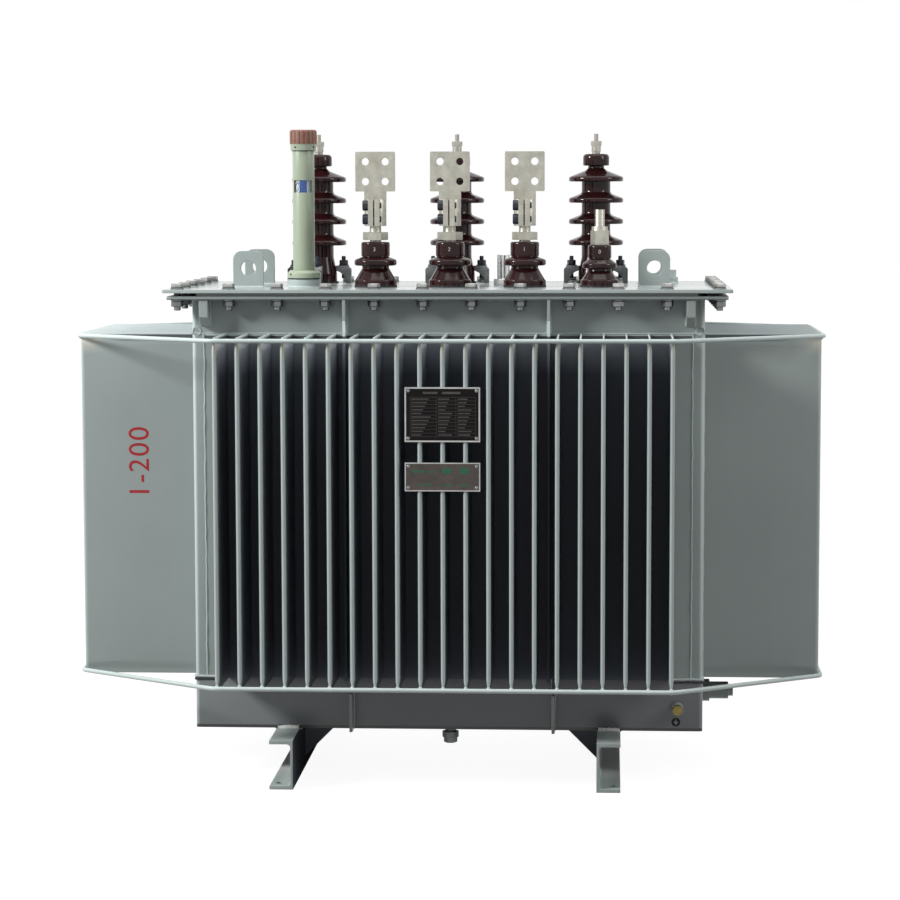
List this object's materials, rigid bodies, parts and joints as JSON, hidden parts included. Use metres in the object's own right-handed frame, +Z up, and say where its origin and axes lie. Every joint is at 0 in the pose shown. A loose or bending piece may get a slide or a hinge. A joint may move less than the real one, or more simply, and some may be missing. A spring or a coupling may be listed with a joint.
{
  "type": "oil-filled distribution transformer",
  "caption": "Oil-filled distribution transformer with a corrugated fin tank, porcelain bushings on a bolted cover, lifting eyes and channel feet.",
  "frame": {"origin": "on the floor, under the centre of the tank, midway between the feet", "axes": "+X along the tank's length, -Y the front with the low-voltage bushings and plates, +Z up"},
  "size_m": [1.694, 0.89, 1.466],
  "materials": {
    "paint": "satin",
    "gasket": "matte",
    "porcelain": "glossy",
    "terminal_brass": "satin",
    "clamp_casting": "matte",
    "tinned_metal": "satin",
    "gauge_paint": "satin",
    "sight_glass": "glossy",
    "cap_plastic": "matte",
    "plated_steel": "polished",
    "earth_brass": "satin",
    "plate_metal": "satin"
  },
  "bodies": {
    "root": {"foot_left": "paint", "foot_right": "paint", "foot_gussets": "paint", "tank_bottom": "paint", "lower_band": "paint", "upper_band": "paint", "corner_posts": "paint", "front_corrugated_wall": "paint", "rear_corrugated_wall": "paint", "left_corrugated_wall": "paint", "right_corrugated_wall": "paint", "rear_fin_rods": "paint", "left_fin_rods": "paint", "front_fin_rods": "paint", "right_fin_rods": "paint", "corner_fin_rods": "paint", "stiffening_ribs": "paint", "tank_lifting_lugs": "paint", "tank_flange": "paint", "cover_gasket": "gasket", "gasket_stop_bars": "paint", "cover_plate": "paint", "cover_lifting_lugs": "paint", "hv_bushing_1": "porcelain", "hv_bushing_2": "porcelain", "hv_bushing_3": "porcelain", "hv_terminal_1": "terminal_brass", "hv_terminal_2": "terminal_brass", "hv_terminal_3": "terminal_brass", "hv_bushing_clamps": "clamp_casting", "lv_bushing_1": "porcelain", "lv_bushing_2": "porcelain", "lv_bushing_3": "porcelain", "lv_terminal_1": "tinned_metal", "lv_terminal_2": "tinned_metal", "lv_terminal_3": "tinned_metal", "neutral_bushing": "porcelain", "neutral_terminal": "tinned_metal", "oil_gauge_base": "gauge_paint", "oil_gauge_tube": "gauge_paint", "oil_gauge_glass": "sight_glass", "oil_gauge_cap": "cap_plastic", "thermometer_pocket": "plated_steel", "filler_plug": "gauge_paint", "drain_valve": "paint", "sump_plug": "paint", "earthing_stud": "earth_brass", "rating_plate": "plate_metal", "info_plate": "plate_metal"}
  },
  "joints": []
}
